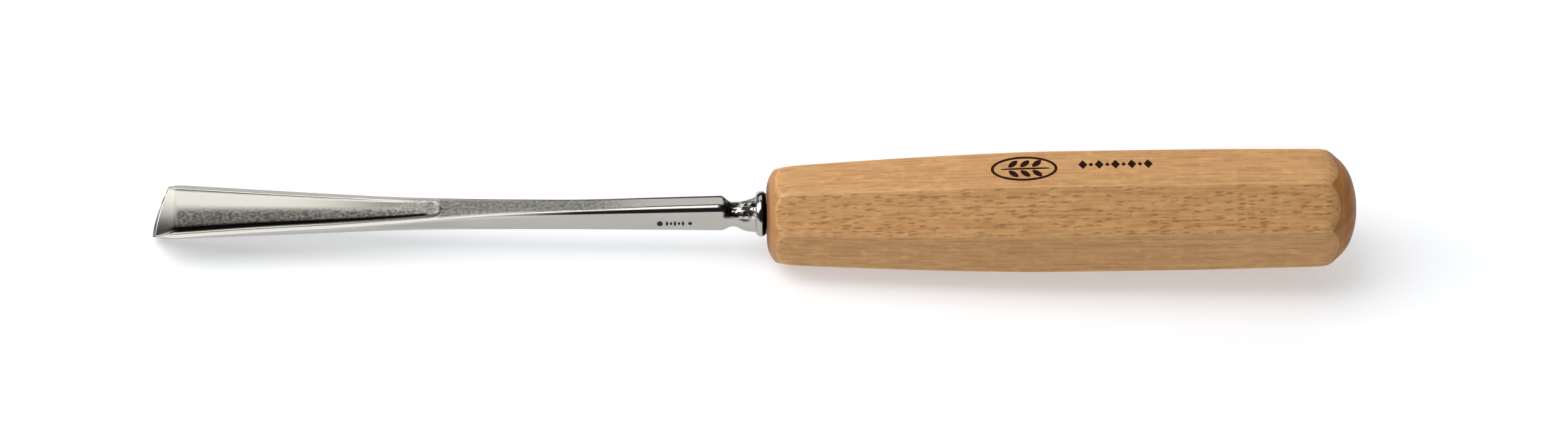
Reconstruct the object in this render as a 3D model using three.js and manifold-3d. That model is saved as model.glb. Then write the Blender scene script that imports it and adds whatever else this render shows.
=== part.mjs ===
// A V parting tool for woodcarving, in millimetres: a forged steel blade whose tang is driven
// into an octagonal beech handle, with a steel ring let into the nose of the handle.
//
// The tool lies along X, its cutting end toward -X and the butt of its handle toward +X, with
// the open side of the V up. Shapes are drawn in the tool's own frame: x = 0 is the flat nose
// of the handle, and y = z = 0 is the axis of the tool. The group at the end lifts that frame,
// so that the lowest facet rests on z = 0 and the middle of the tool's length is over x = 0.
import * as THREE from 'three';
import { mergeVertices } from 'three/addons/utils/BufferGeometryUtils.js';
import Module from 'manifold-3d';

const wasm = await Module();
wasm.setup();

// Driving dimensions: the whole tool.
const HANDLE_LENGTH = 125;
const BLADE_REACH = 130.2; // from the nose of the handle to the point of the keel
const FIT_GAP = 0.3; // clearance left between pieces that are driven together
const OVERCUT = 1; // how far a cutter stands out of the face that it goes into

// The handle: an octagonal barrel, rounded at the nose and domed at the butt.
const FACETS = 8;
const HANDLE_FLATS = 25.5; // across flats where the barrel is thickest
const NOSE_FLATS = 20.4; // across flats where the barrel meets the nose
const BARREL_START = 60; // the barrel is parallel from here ...
const BARREL_END = 92; // ... to here
const BARREL_CURVE = 1.45; // how fast the front of the barrel fills out
const BUTT_TAPER = 0.85; // lost across flats between the parallel part and the butt
const BUTT_CURVE = 1.2; // how late it is lost
const NOSE_EASE = { length: 7, depth: 0.75, power: 2 }; // the facets bend in toward the nose
const BUTT_EASE = { length: 7.4, depth: 4.9, power: 1.25 }; // and toward the butt
const NOSE_FACE_RADIUS = 5.2;
const NOSE_ROUND = { length: 5.5, height: 6.3 };
const BUTT_DOME = [[118.3, 13.3], [120.5, 11.1], [122.1, 9.6], [123.6, 7.3], [124.7, 3.8], [125, 0]];
const OCTAGONS_AT = [
  0, 1.5, 3, 4.5, 6.5, 9, 15, 22, 30, 38, 46, 53, BARREL_START, BARREL_END,
  105, 112, 116.5, 118, 119.3, 120.5, 121.5, 122.5, 123.7, HANDLE_LENGTH,
];

// The ring in the nose, and the tang that passes through it.
const RING = { outer: 4.3, inner: 3.3, start: 0.3, length: 8 };
const TANG = { half: 2.1, endHalf: 1.1, length: 62, pointLength: 5, pointHalf: 0.3 };
const RECESS_LENGTH = RING.start + RING.length + FIT_GAP;

// The neck and the bolster, turned about an axis a little above that of the handle.
const BLADE_RISE = 0.7;
const SHANK_END = -8;
const NECK = { start: -9.7, startRadius: 2.3, waist: -6.5, radius: 2.65 };
const COVE = { end: -2.15, height: 1.8 }; // the hollow that flares from the waist to the flange
const FLANGE = { center: -1.2, radius: 4.87, round: 1.05, arc: [130, 30] };
const BOLSTER_BACK = { at: -0.1, radius: 4.4 };

// The blade from its cutting end back to the shank. Each section has a keel, a pair of lower
// corners and a pair of rounded top corners. half and top place the top corner, lowHalf and
// low the lower one, and round is the top corner's radius.
const BLADE_SECTIONS = [
  { at: -134, half: 8.8, top: 4.05, keel: -4.3, lowHalf: 4.4, low: -0.1, round: 0.1 },
  { at: -122, half: 7.7, top: 4.0, keel: -3.95, lowHalf: 3.85, low: 0.05, round: 0.1 },
  { at: -106, half: 6.3, top: 3.75, keel: -3.45, lowHalf: 3.15, low: 0.15, round: 0.1 },
  { at: -92, half: 5.2, top: 3.45, keel: -2.95, lowHalf: 2.65, low: 0.25, round: 0.15 },
  { at: -79, half: 4.1, top: 3.4, keel: -2.55, lowHalf: 2.25, low: 0.25, round: 0.2 },
  { at: -68, half: 3.25, top: 3.65, keel: -2.5, lowHalf: 2.2, low: -0.1, round: 0.3 },
  { at: -56, half: 2.6, top: 3.9, keel: -2.6, lowHalf: 2.2, low: -0.55, round: 0.5 },
  { at: -40, half: 2.3, top: 4.1, keel: -2.75, lowHalf: 2.2, low: -1.0, round: 1 },
  { at: -25, half: 2.4, top: 4.5, keel: -2.8, lowHalf: 2.3, low: -1.4, round: 1.4 },
  { at: -9.7, half: 2.5, top: 4.8, keel: -2.8, lowHalf: 2.4, low: -1.85, round: 1.6 },
  { at: -8.7, half: 2.45, top: 4.4, keel: -2.5, lowHalf: 2.3, low: -1.65, round: 1.6 },
  { at: SHANK_END, half: 2.1, top: 3.3, keel: -1.5, lowHalf: 1.9, low: -1.1, round: 1.2 },
];

// The V groove: the depth of its valley, the half width of the valley's floor, and the half
// width of its mouth at the rims. It runs out in a short scoop.
const GROOVE_SECTIONS = [
  { at: -134, valley: -2.7, floor: 0.15, mouth: 7.6, rim: 4.05 },
  { at: -122, valley: -1.7, floor: 0.15, mouth: 6.5, rim: 4.0 },
  { at: -106, valley: -0.5, floor: 0.15, mouth: 5.1, rim: 3.75 },
  { at: -92, valley: 0.3, floor: 0.15, mouth: 4.05, rim: 3.45 },
  { at: -79, valley: 1.25, floor: 0.2, mouth: 3.0, rim: 3.4 },
  { at: -72.5, valley: 1.85, floor: 0.3, mouth: 2.45, rim: 3.54 },
  { at: -70.6, valley: 2.2, floor: 0.4, mouth: 2.2, rim: 3.58 },
  { at: -69.2, valley: 2.85, floor: 0.5, mouth: 1.6, rim: 3.61 },
  { at: -68.6, valley: 3.57, floor: 0.5, mouth: 0.8, rim: 3.63 },
];
const GROOVE_HEADROOM = 3; // how far the cutter of the groove stands above the rims

// The cutting edge: its two lines run from the point of the keel to the tips of the wings,
// and each is ground on both sides.
const EDGE = {
  keel: new THREE.Vector3(-BLADE_REACH, 0, -3.6),
  wingAt: -126.6,
  wingHalf: 7.5,
  wingTop: 4.0,
  bevelAngle: THREE.MathUtils.degToRad(28),
};
const WALL_RISE = 0.057; // how fast the middle of the V's wall rises toward the handle
const CUTTER_SIZE = 60;

// How finely round shapes are drawn.
const ROUND_SEGMENTS = 48;
const ARC_STEPS = 6;
const DOME_STEPS = 12;
const CORNER_STEPS = 3;

// A closed solid from rings of points, each ring convex and counterclockwise seen from +X.
function loft(rings) {
  const count = rings[0].length;
  const index = [];
  for (let ring = 0; ring + 1 < rings.length; ring++) {
    for (let i = 0; i < count; i++) {
      const here = ring * count + i;
      const next = ring * count + ((i + 1) % count);
      index.push(here, next, next + count);
      index.push(here, next + count, here + count);
    }
  }
  const last = (rings.length - 1) * count;
  for (let i = 1; i + 1 < count; i++) {
    index.push(0, i + 1, i);
    index.push(last, last + i, last + i + 1);
  }
  const geometry = new THREE.BufferGeometry();
  geometry.setAttribute('position', new THREE.Float32BufferAttribute(rings.flat(2), 3));
  geometry.setIndex(index);
  return geometry;
}

// A solid turned about the X axis from a profile of [x, radius] points.
function turned(profile) {
  const points = profile.map(([x, radius]) => new THREE.Vector2(radius, x));
  const geometry = new THREE.LatheGeometry(points, ROUND_SEGMENTS);
  geometry.rotateZ(-Math.PI / 2);
  return geometry;
}

// A geometry as a solid that can be cut and joined. Triangles that have shrunk to a line,
// where a turned profile meets the axis, are left out.
function toSolid(geometry) {
  const bare = geometry.clone();
  bare.deleteAttribute('normal');
  bare.deleteAttribute('uv');
  const merged = mergeVertices(bare);
  const corners = Array.from(merged.index.array);
  const triVerts = [];
  for (let i = 0; i < corners.length; i += 3) {
    const [a, b, c] = corners.slice(i, i + 3);
    if (a !== b && b !== c && c !== a) {
      triVerts.push(a, b, c);
    }
  }
  const vertProperties = new Float32Array(merged.attributes.position.array);
  const mesh = new wasm.Mesh({ numProp: 3, vertProperties, triVerts: new Uint32Array(triVerts) });
  return new wasm.Manifold(mesh);
}

function toGeometry(solid) {
  const mesh = solid.getMesh();
  const geometry = new THREE.BufferGeometry();
  geometry.setAttribute('position', new THREE.Float32BufferAttribute(mesh.vertProperties, 3));
  geometry.setIndex(Array.from(mesh.triVerts));
  geometry.computeVertexNormals();
  return geometry;
}

// Points of a quarter ellipse arc between two angles, as [x, radius] pairs.
function arcPoints(centerX, centerRadius, sizeX, sizeRadius, [from, to]) {
  return Array.from({ length: ARC_STEPS + 1 }, (_, i) => {
    const angle = THREE.MathUtils.degToRad(from + ((to - from) * i) / ARC_STEPS);
    return [centerX + sizeX * Math.cos(angle), centerRadius + sizeRadius * Math.sin(angle)];
  });
}

// How far a facet has bent in at a distance from the end of the handle.
function easing({ length, depth, power }, distance) {
  return depth * Math.max(0, 1 - distance / length) ** power;
}

// Half the distance across flats at x.
function facetDistance(x) {
  const toStart = Math.max(0, 1 - x / BARREL_START);
  const pastEnd = Math.max(0, (x - BARREL_END) / (HANDLE_LENGTH - BARREL_END));
  const filling = (HANDLE_FLATS - NOSE_FLATS) * toStart ** BARREL_CURVE;
  const flats = HANDLE_FLATS - filling - BUTT_TAPER * pastEnd ** BUTT_CURVE;
  return flats / 2 - easing(NOSE_EASE, x) - easing(BUTT_EASE, HANDLE_LENGTH - x);
}

function octagon(x) {
  const step = (2 * Math.PI) / FACETS;
  const radius = facetDistance(x) / Math.cos(step / 2);
  return Array.from({ length: FACETS }, (_, i) => {
    const angle = step * (i + 0.5);
    return [x, radius * Math.cos(angle), radius * Math.sin(angle)];
  });
}

function square(x, half) {
  return [[x, half, -half], [x, half, half], [x, -half, half], [x, -half, -half]];
}

function handleGeometry() {
  const barrel = toSolid(loft(OCTAGONS_AT.map(octagon)));
  const { length, height } = NOSE_ROUND;
  const noseArc = arcPoints(length, NOSE_FACE_RADIUS, length, height, [180, 90]);
  const domeCurve = new THREE.SplineCurve(BUTT_DOME.map(([x, radius]) => new THREE.Vector2(x, radius)));
  const dome = domeCurve.getPoints(DOME_STEPS).map((point) => [point.x, point.y]);
  const clear = HANDLE_FLATS; // a radius that is well clear of the corners of the octagon
  const envelope = toSolid(
    turned([[0, 0], ...noseArc, [BARREL_START, clear], [BARREL_END, clear], ...dome]));
  const recess = toSolid(turned([
    [-OVERCUT, 0],
    [-OVERCUT, RING.outer + FIT_GAP],
    [RECESS_LENGTH, RING.outer + FIT_GAP],
    [RECESS_LENGTH, 0],
  ]));
  return toGeometry(barrel.intersect(envelope).subtract(recess).subtract(tangSolid(FIT_GAP, -OVERCUT)));
}

// The tang, grown by a clearance all round, from a given x. It ends in a blunt point.
function tangSolid(clearance, start) {
  const pointStart = TANG.length - TANG.pointLength;
  return toSolid(loft([
    square(start, TANG.half + clearance),
    square(RECESS_LENGTH, TANG.half + clearance),
    square(pointStart, TANG.endHalf + clearance),
    square(TANG.length + clearance, TANG.pointHalf + clearance),
  ]));
}

function ringGeometry() {
  const end = RING.start + RING.length;
  return turned([
    [RING.start, RING.inner],
    [RING.start, RING.outer],
    [end, RING.outer],
    [end, RING.inner],
    [RING.start, RING.inner],
  ]);
}

// One blade section, counterclockwise seen from +X: keel, lower corner, rounded top corner
// on the +Y side, then the same back down the -Y side.
function bladeRing({ at, half, top, keel, lowHalf, low, round }) {
  const farSide = [[lowHalf, low]];
  for (let i = 0; i <= CORNER_STEPS; i++) {
    const angle = ((Math.PI / 2) * i) / CORNER_STEPS;
    farSide.push([half - round + round * Math.cos(angle), top - round + round * Math.sin(angle)]);
  }
  const nearSide = farSide.map(([y, z]) => [-y, z]).reverse();
  return [[0, keel], ...farSide, ...nearSide].map(([y, z]) => [at, y, z]);
}

function grooveRing({ at, valley, floor, mouth, rim }) {
  const spread = ((mouth - floor) / (rim - valley)) * GROOVE_HEADROOM;
  const height = rim + GROOVE_HEADROOM;
  return [
    [at, -floor, valley],
    [at, floor, valley],
    [at, mouth + spread, height],
    [at, -mouth - spread, height],
  ];
}

// Everything beyond a plane, as a block: the plane goes through a point and faces the block.
function beyondPlane(point, normal) {
  const block = new THREE.BoxGeometry(CUTTER_SIZE, CUTTER_SIZE, CUTTER_SIZE);
  block.translate(0, 0, CUTTER_SIZE / 2);
  const turn = new THREE.Quaternion().setFromUnitVectors(new THREE.Vector3(0, 0, 1), normal);
  block.applyQuaternion(turn);
  block.translate(point.x, point.y, point.z);
  return toSolid(block);
}

// The two bevel planes of the wing on one side (-1 or +1 in Y), as the directions they face.
function bevelNormals(side) {
  const wingTip = new THREE.Vector3(EDGE.wingAt, side * EDGE.wingHalf, EDGE.wingTop);
  const edge = wingTip.sub(EDGE.keel).normalize();
  const wallLine = new THREE.Vector3(1, 0, WALL_RISE).normalize();
  const outward = new THREE.Vector3().crossVectors(edge, wallLine).normalize();
  outward.multiplyScalar(-Math.sign(outward.z));
  const back = wallLine.clone().addScaledVector(edge, -wallLine.dot(edge)).normalize();
  const forward = back.multiplyScalar(-Math.sin(EDGE.bevelAngle));
  const across = outward.multiplyScalar(Math.cos(EDGE.bevelAngle));
  return { outer: forward.clone().add(across), inner: forward.clone().sub(across) };
}

function bladeGeometry() {
  const body = toSolid(loft(BLADE_SECTIONS.map(bladeRing)));
  const groove = toSolid(loft(GROOVE_SECTIONS.map(grooveRing)));
  const left = bevelNormals(-1);
  const right = bevelNormals(1);
  const innerBevels = beyondPlane(EDGE.keel, left.inner).intersect(
    beyondPlane(EDGE.keel, right.inner));
  const ground = body
    .subtract(groove)
    .subtract(beyondPlane(EDGE.keel, left.outer))
    .subtract(beyondPlane(EDGE.keel, right.outer))
    .subtract(innerBevels);
  const coveCenter = NECK.radius + COVE.height;
  const cove = arcPoints(NECK.waist, coveCenter, COVE.end - NECK.waist, COVE.height, [-90, 0]);
  const { center, radius, round, arc } = FLANGE;
  const flange = arcPoints(center, radius - round, round, round, arc);
  const neckGeometry = turned([
    [NECK.start, 0],
    [NECK.start, NECK.startRadius],
    [SHANK_END, NECK.radius],
    ...cove,
    ...flange,
    [BOLSTER_BACK.at, BOLSTER_BACK.radius],
    [BOLSTER_BACK.at, 0],
  ]);
  neckGeometry.translate(0, 0, BLADE_RISE);
  return toGeometry(ground.add(toSolid(neckGeometry)).add(tangSolid(0, center)));
}

function piece(name, geometry, color, roughness, metalness) {
  const material = new THREE.MeshStandardMaterial({ color, roughness, metalness });
  const mesh = new THREE.Mesh(geometry, material);
  mesh.name = name;
  return mesh;
}

const tool = new THREE.Group();
tool.name = 'v_parting_tool';
tool.add(piece('blade', bladeGeometry(), 0xb4b2aa, 0.3, 1));
tool.add(piece('handle', handleGeometry(), 0xc5996c, 0.45, 0));
tool.add(piece('inner_ferrule', ringGeometry(), 0x8c8a86, 0.4, 1));
tool.position.set((BLADE_REACH - HANDLE_LENGTH) / 2, 0, HANDLE_FLATS / 2);

export default tool;
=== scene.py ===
import math

import bmesh
import bpy
from mathutils import Matrix, Vector


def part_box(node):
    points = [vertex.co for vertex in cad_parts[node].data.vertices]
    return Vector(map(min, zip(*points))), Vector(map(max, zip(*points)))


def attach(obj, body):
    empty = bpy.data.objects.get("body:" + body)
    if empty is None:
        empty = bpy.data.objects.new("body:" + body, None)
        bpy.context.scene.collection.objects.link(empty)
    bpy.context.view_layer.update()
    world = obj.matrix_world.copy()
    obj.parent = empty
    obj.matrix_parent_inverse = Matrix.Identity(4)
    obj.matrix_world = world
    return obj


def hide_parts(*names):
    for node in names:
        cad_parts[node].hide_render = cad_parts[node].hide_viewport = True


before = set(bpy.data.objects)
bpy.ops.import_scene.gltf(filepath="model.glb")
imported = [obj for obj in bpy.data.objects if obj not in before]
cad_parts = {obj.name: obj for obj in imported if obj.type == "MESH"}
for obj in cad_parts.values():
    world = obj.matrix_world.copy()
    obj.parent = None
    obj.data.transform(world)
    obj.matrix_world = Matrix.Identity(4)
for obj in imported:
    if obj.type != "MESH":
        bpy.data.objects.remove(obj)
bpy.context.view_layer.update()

ROOT = "root"

MM = 0.001
HANDLE_LOW, HANDLE_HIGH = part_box("handle")
NOSE_X = HANDLE_LOW.x
AXIS_Z = (HANDLE_LOW.z + HANDLE_HIGH.z) / 2

# The handle, as in the CAD but for its shallower scallops at the butt and its rounded edges.
HANDLE_LENGTH = 125
FACETS = 8
HANDLE_FLATS = 25.5  # across flats where the barrel is thickest
NOSE_FLATS = 20.4
BARREL_START = 60
BARREL_END = 92
BARREL_CURVE = 1.45
BUTT_TAPER = 0.85
BUTT_CURVE = 1.2
NOSE_EASE = (7, 0.75, 2)  # length, depth and power of the facets' bend toward the nose
BUTT_EASE = (7.4, 3.8, 1.25)
NOSE_FACE_RADIUS = 5.2
NOSE_ROUND = (5.5, 6.3)  # length and height of the quarter ellipse round the nose
BUTT_DOME = ((118.3, 13.3), (120.5, 11.1), (122.1, 9.6), (123.6, 7.3), (124.7, 3.8), (125, 0))
FACET_SHARPNESS = 13  # per millimetre: an edge between two facets is rounded over about 1 / this
END_SHARPNESS = 12
EDGE_HIGHLIGHT_WIDTH = 0.24  # how far apart two facets of the handle are where the painted highlight on their edge begins
EDGE_HIGHLIGHT_END_WIDTH = 0.168  # and a facet and the rounding of an end
RECESS_RADIUS = 4.6
RECESS_LENGTH = 8.6
RECESS_STEP = 0.15  # the ledges at the bottom of the recess ...
RECESS_CHAMFER = 0.2  # ... and round its mouth
BORE_GAP = 0.3

# The tang: a tapered square in the bore of the handle.
TANG_START = -0.75
TANG_HALF = 2.1
TANG_END_HALF = 1.1
TANG_LENGTH = 62
TANG_POINT_LENGTH = 5
TANG_POINT_HALF = 0.3
TANG_CHAMFER = 0.25  # share of the half width that the tang's corners lose

# The blade from its cutting end back to the shank: place, half width at the top, height of the
# top, height of the keel, half width and height of the lower corner, and radius of the top corner.
BLADE_SECTIONS = (
    (-134, 8.8, 4.05, -4.3, 4.4, -0.1, 0.1),
    (-122, 7.7, 4.0, -3.95, 3.85, 0.05, 0.1),
    (-106, 6.3, 3.75, -3.45, 3.15, 0.15, 0.1),
    (-92, 5.2, 3.45, -2.95, 2.65, 0.25, 0.15),
    (-79, 4.1, 3.4, -2.55, 2.25, 0.25, 0.2),
    (-68, 3.25, 3.65, -2.5, 2.2, -0.1, 0.3),
    (-56, 2.6, 3.9, -2.6, 2.2, -0.55, 0.5),
    (-40, 2.3, 4.1, -2.75, 2.2, -1.0, 1.0),
    (-25, 2.4, 4.5, -2.8, 2.3, -1.4, 1.4),
    (-9.7, 2.5, 4.8, -2.8, 2.4, -1.85, 1.6),
)
# The V groove: place, height of its valley and half width of its mouth.
GROOVE_SECTIONS = (
    (-134, -2.7, 7.6),
    (-122, -1.7, 6.5),
    (-106, -0.5, 5.1),
    (-92, 0.3, 4.05),
    (-79, 1.25, 3.0),
    (-71.3, 2.0, 2.4),
)
SCOOP_START = GROOVE_SECTIONS[-1][0]
SCOOP_LENGTH = 2.6  # the groove's rounded back end
SCOOP_END = SCOOP_START + SCOOP_LENGTH
VALLEY_ROUND = 0.12
KEEL_ROUND = 0.35
RIM_CHAMFER = 0.07
LOWER_CORNER = 0.45  # how far from the lower corner its rounding starts

# The cutting edge runs from the point of the keel to the tips of the wings, bowed a little.
EDGE_KEEL = (-130.2, -3.6)
EDGE_WING = (-126.6, 7.5, 4.0)
EDGE_BOW = 1.5
OUTER_BEVEL = 2.6
HONED_BACK = -125.2  # where the honed strip inside the V ends
STRAIGHT_FROM = -120.5  # sections are square to the axis from here back

# How the blade's steel was left. A pair of places, shares or angles is where the fade of a zone
# starts and ends, and a share runs from 0 at the keel or the valley to 1 at the rim.
SCALE_AND_SHADE_SHARES = (0.36, 0.64)  # forging scale, with painted shade, is in the lower part of the groove ...
SCALED_BACK = (-82, -72)  # ... and everywhere on its walls behind here, more thinly
BACK_SCALE = 0.65
TOP_SCALE = 0.82  # how much of the scale is left on top of the shank
TOP_SCALE_FRONT = (-1.3, -0.1)  # from the end of the scoop
TOP_SCALE_BACK = (-40, -22)
TOP_SCALE_UP = (-0.25, -0.05)  # from the height of the top
TOP_SCALE_RIMS = (-0.9, -0.5)  # from the sides: the rims are ground
SATIN_AND_LIGHT_SHARES = (0.4, 0.68)  # the upper part of the groove is satin and painted light
SATIN_AND_LIGHT_BACK = (-106, -68)
RIM_HIGHLIGHT = 0.8  # how strong the painted highlight along the near rim is
RIM_HIGHLIGHT_WIDTH = (-1.2, -0.8)  # from the near side
RIM_HIGHLIGHT_BACK = (-62, -38)
HONED_SATIN_AND_LIGHT = (0.06, 0.8)  # how satin the honed strip is at its valley and at its rim; its paling toward the rim is painted light
HONED_SHARES = (0, 0.95)
HONED_FADE = 0.4
# Where the neck is lumpy and has bright and black reflections painted on it:
LUMPS_AND_REFLECTIONS_ANGLES = (math.radians(52), math.radians(64))  # from the top of the neck, on each side
LUMPS_AND_REFLECTIONS_FRONT = (0.2, 1.0)  # from the end of the shank
LUMPS_AND_REFLECTIONS_BACK = (-0.4, 0.4)  # from the end of the cove
# Painted shade, and on the neck a painted dark reflection: a black line in the valley with shade spreading
# up from it, a darker scoop, a dark shoulder behind the shank and a black bolster back.
SHADE_LINE = (0.09, 0.17)  # painted shade: the black line in the valley, and the shade that spreads from it
SHADE_LINE_AMOUNT = 0.75
SHADE_SPREAD = (0.1, 0.45)
SHADE_SPREAD_AMOUNT = 0.25
SHADE_FRONT = (-128, -125.5)
SCOOP_SHADE = 0.3
NECK_SHADE = (1.5, 2.8)  # from the end of the shank
BOLSTER_SHADE = (0.05, 0.4)  # from the centre of the bolster's rounding

# The neck and the bolster, turned about an axis a little above that of the handle.
BLADE_RISE = 0.7
SHANK_END = -9.7
NECK_STEP = 0.28
NECK_BLEND = 2.3  # how soon the shank becomes round
NECK_WAIST = -6.5
NECK_RADIUS = 2.65
COVE_END = -2.15
COVE_HEIGHT = 1.8
FLANGE_CENTER = -1.2
FLANGE_RADIUS = 4.87
FLANGE_ROUND = 1.05
FLANGE_ARC = (130, 30)  # from the cove round to the back, in degrees
BOLSTER_BACK = (-0.1, 4.4)
LOWER_FLARE = 0.75  # the ground underside of the neck flares into the bolster sooner
UNDERSIDE_ANGLES = (math.radians(65), math.radians(120))  # where it starts, from the top

# Columns of the blade's mesh, on each side of it.
WALL_COLUMNS = 18
CORNER_COLUMNS = 6
LAND_COLUMNS = 4
LOW_FIRST, LOW_LAST = 9, 12  # the columns that go round the lower corner
COLUMN_CROWDING = 1.35  # columns crowd toward the keel and the valley

# Rings of each stretch of the blade's mesh, from the cutting edge to the back of the bolster.
BEVEL_RINGS = 6
STRAIGHTENING_RINGS = 8
GROOVE_RINGS = 50
SCOOP_RINGS = 12
SHANK_RINGS = 70
NECK_RINGS = 11
COVE_RINGS = 14
FLANGE_RINGS = 12

# The handle's mesh: columns on each facet and how they crowd toward its edges, and rings.
FACET_COLUMNS = 16
FACET_CROWDING = 1.6
NOSE_RINGS = 16
BODY_RINGS = 74
DOME_RINGS = 14

# Marks burned into the top facet: a sprig in an oval, and a row of lozenges.
EMBLEM = (54.2, 0.25, 7.0, 3.6)  # centre and half sizes of the oval
EMBLEM_LINE = 0.6
EMBLEM_POINTS = 64
STEM = (0.2, 5.2, 0.24)  # how far behind the oval's centre, and its half sizes
LEAF_PAIRS = 3
LEAVES_START = -2.3  # from the oval's centre
LEAVES_STEP = 2.5
LEAF_ACROSS = 1.45
LEAF_SIZE = (1.35, 0.66)
LEAF_TURN = math.radians(46)
BEADS_START = 66.6
BEADS_STEP = 1.72
BEADS_COUNT = 9
LARGE_BEAD = (0.95, 1.3)
SMALL_BEAD = (0.5, 0.6)
BEADS_ACROSS = 1.1
PLATE = 0.05  # thickness of the plates that the marks are made of

# Punch marks on the near side of the shank: a large dot, a row of five and a small dot. Each has
# its place and its half sizes.
PUNCH_UP = 0.5
FIRST_PUNCH = (-22.6, 0.62, 0.72)
LAST_PUNCH = (-16.2, 0.42, 0.46)
PUNCH_ROW_START = -21.1
PUNCH_ROW_STEP = 0.85
PUNCH_ROW_HALF = 0.26
PUNCH_ROW_HEIGHTS = (0.66, 0.42, 0.66, 0.42, 0.66)

# Camera: upright, looking down at the tool from its near side. Its distance and the width that
# it sees there are in metres.
CAMERA_AZIMUTH = math.radians(1.22)
CAMERA_ELEVATION = math.radians(45)
CAMERA_DISTANCE = 1.0
VIEW_WIDTH = 0.3323
SENSOR_WIDTH = 36
AIM_S = 3.7
AIM_UP = 0.36  # from the handle's axis, upward in the picture

# The tool rests on the belly of its handle and the point of its keel, so the floor slopes a
# little in its frame: place and height of the two points that the floor touches.
FLOOR_TOUCHES = (50, -12.72, -130.2, -4.25)
AMBIENT = 0.31  # soft light from all round
FLOOR_GLOW = 0.43  # keeps the shadows on the floor pale
FLOOR_FADE = (0.24, 0.6)  # where its fade into white starts and ends, in metres from the tool
FLOOR_HALF = 1.6  # half the floor's width, in metres
REFLECTED_DARK = 0.02  # what polished steel mirrors where there is no light

# Lights: direction from the tool, distance, size and power. The overhead one lights the floor
# and the wood, and the mirrored one, just in front of it, is what polished steel shows. The one
# at the back brightens what faces away from the camera.
OVERHEAD = ((-0.7, -0.05, 1), 1.15, (1.7, 0.8), 17)
MIRRORED = ((-0.7, -0.05, 1), 1.1, (1.66, 0.78), 12.5)
BACK = ((0, 1, 1), 1.3, (2.0, 0.7), 5)

HEART = (0, 0.6, 2.3)  # the heart of the tree is off to one side of the handle


def place(s, y, z):
    return Vector((NOSE_X + s * MM, y * MM, AXIS_Z + z * MM))


def mix(a, b, amount):
    return a + (b - a) * amount


def shares(count):
    """Equal steps from just above 0 up to 1."""
    return [i / count for i in range(1, count + 1)]


def smooth_step(low, high, value):
    amount = min(1, max(0, (value - low) / (high - low)))
    return amount * amount * (3 - 2 * amount)


def curve_value(rows, column, at):
    """A smooth curve through one column of a table, whose first column rises."""
    last = len(rows) - 2
    index = next((i for i in range(last) if at < rows[i + 1][0]), last)
    left, right = rows[index], rows[index + 1]
    before = rows[max(0, index - 1)]
    after = rows[min(len(rows) - 1, index + 2)]
    width = right[0] - left[0]
    slope_left = (right[column] - before[column]) / (right[0] - before[0])
    slope_right = (after[column] - left[column]) / (after[0] - left[0])
    t = (at - left[0]) / width
    rise = right[column] - left[column]
    curve = 3 * rise - (2 * slope_left + slope_right) * width
    twist = (slope_left + slope_right) * width - 2 * rise
    return left[column] + t * (slope_left * width + t * (curve + t * twist))


def new_object(name, mesh):
    obj = bpy.data.objects.new(name, mesh)
    bpy.context.scene.collection.objects.link(obj)
    return obj


def loft(name, rings, zones=None):
    """A closed object from rings of (s, y, z) points. zones names vertex attributes: for each
    one, a list of rings of values. An end ring is closed by one face, unless it has shrunk to a
    line or a point."""
    mesh = bpy.data.meshes.new(name)
    shape = bmesh.new()
    layers = {key: shape.verts.layers.float.new(key) for key in zones or {}}
    grid = []
    for r, ring in enumerate(rings):
        row = []
        for c, point in enumerate(ring):
            vertex = shape.verts.new(place(*point))
            for key, layer in layers.items():
                vertex[layer] = zones[key][r][c]
            row.append(vertex)
        grid.append(row)
    count = len(grid[0])
    for here, there in zip(grid, grid[1:]):
        for i in range(count):
            j = (i + 1) % count
            shape.faces.new((here[i], here[j], there[j], there[i]))
    shape.faces.new(grid[0][::-1])
    shape.faces.new(grid[-1])
    bmesh.ops.remove_doubles(shape, verts=shape.verts, dist=1e-7)
    bmesh.ops.dissolve_degenerate(shape, edges=shape.edges, dist=1e-8)
    bmesh.ops.recalc_face_normals(shape, faces=shape.faces)
    shape.to_mesh(mesh)
    shape.free()
    for polygon in mesh.polygons:
        polygon.use_smooth = True
    return new_object(name, mesh)


# ---------------------------------------------------------------- the handle


def easing(ease, distance):
    """How far the facets have bent in, at a distance from the end of the handle."""
    length, depth, power = ease
    return depth * max(0, 1 - distance / length) ** power


def facet_distance(s):
    """Half the distance across flats."""
    to_start = max(0, 1 - s / BARREL_START)
    past_end = max(0, (s - BARREL_END) / (HANDLE_LENGTH - BARREL_END))
    filling = (HANDLE_FLATS - NOSE_FLATS) * to_start ** BARREL_CURVE
    flats = HANDLE_FLATS - filling - BUTT_TAPER * past_end ** BUTT_CURVE
    return flats / 2 - easing(NOSE_EASE, s) - easing(BUTT_EASE, HANDLE_LENGTH - s)


def soft_min(values, sharpness):
    """The least of the values, eased where two of them are close."""
    least = min(values)
    total = sum(math.exp(sharpness * (least - value)) for value in values)
    return least - math.log(total) / sharpness


def facet_radii(s, angle):
    """How far out the three nearest facets are at this angle."""
    flats = facet_distance(s)
    step = 2 * math.pi / FACETS
    nearest = round(angle / step)
    return [flats / math.cos(angle - step * (nearest + i)) for i in (-1, 0, 1)]


def handle_radius(s, envelope, angle):
    """The octagon, cut to the radius of the turned envelope."""
    facets = soft_min(facet_radii(s, angle), FACET_SHARPNESS)
    return soft_min([facets, envelope], END_SHARPNESS)


def edge_highlight_at(s, envelope, angle):
    """How strong the painted highlight along an edge is here: 1 where two faces meet, 0 away from
    the edges.
    """
    first, second = sorted(facet_radii(s, angle))[:2]
    on_facet = 1 - smooth_step(0, EDGE_HIGHLIGHT_WIDTH, second - first) if first < envelope else 0
    on_end = 1 - smooth_step(0, EDGE_HIGHLIGHT_END_WIDTH, abs(envelope - first))
    return max(on_facet, on_end)


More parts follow.
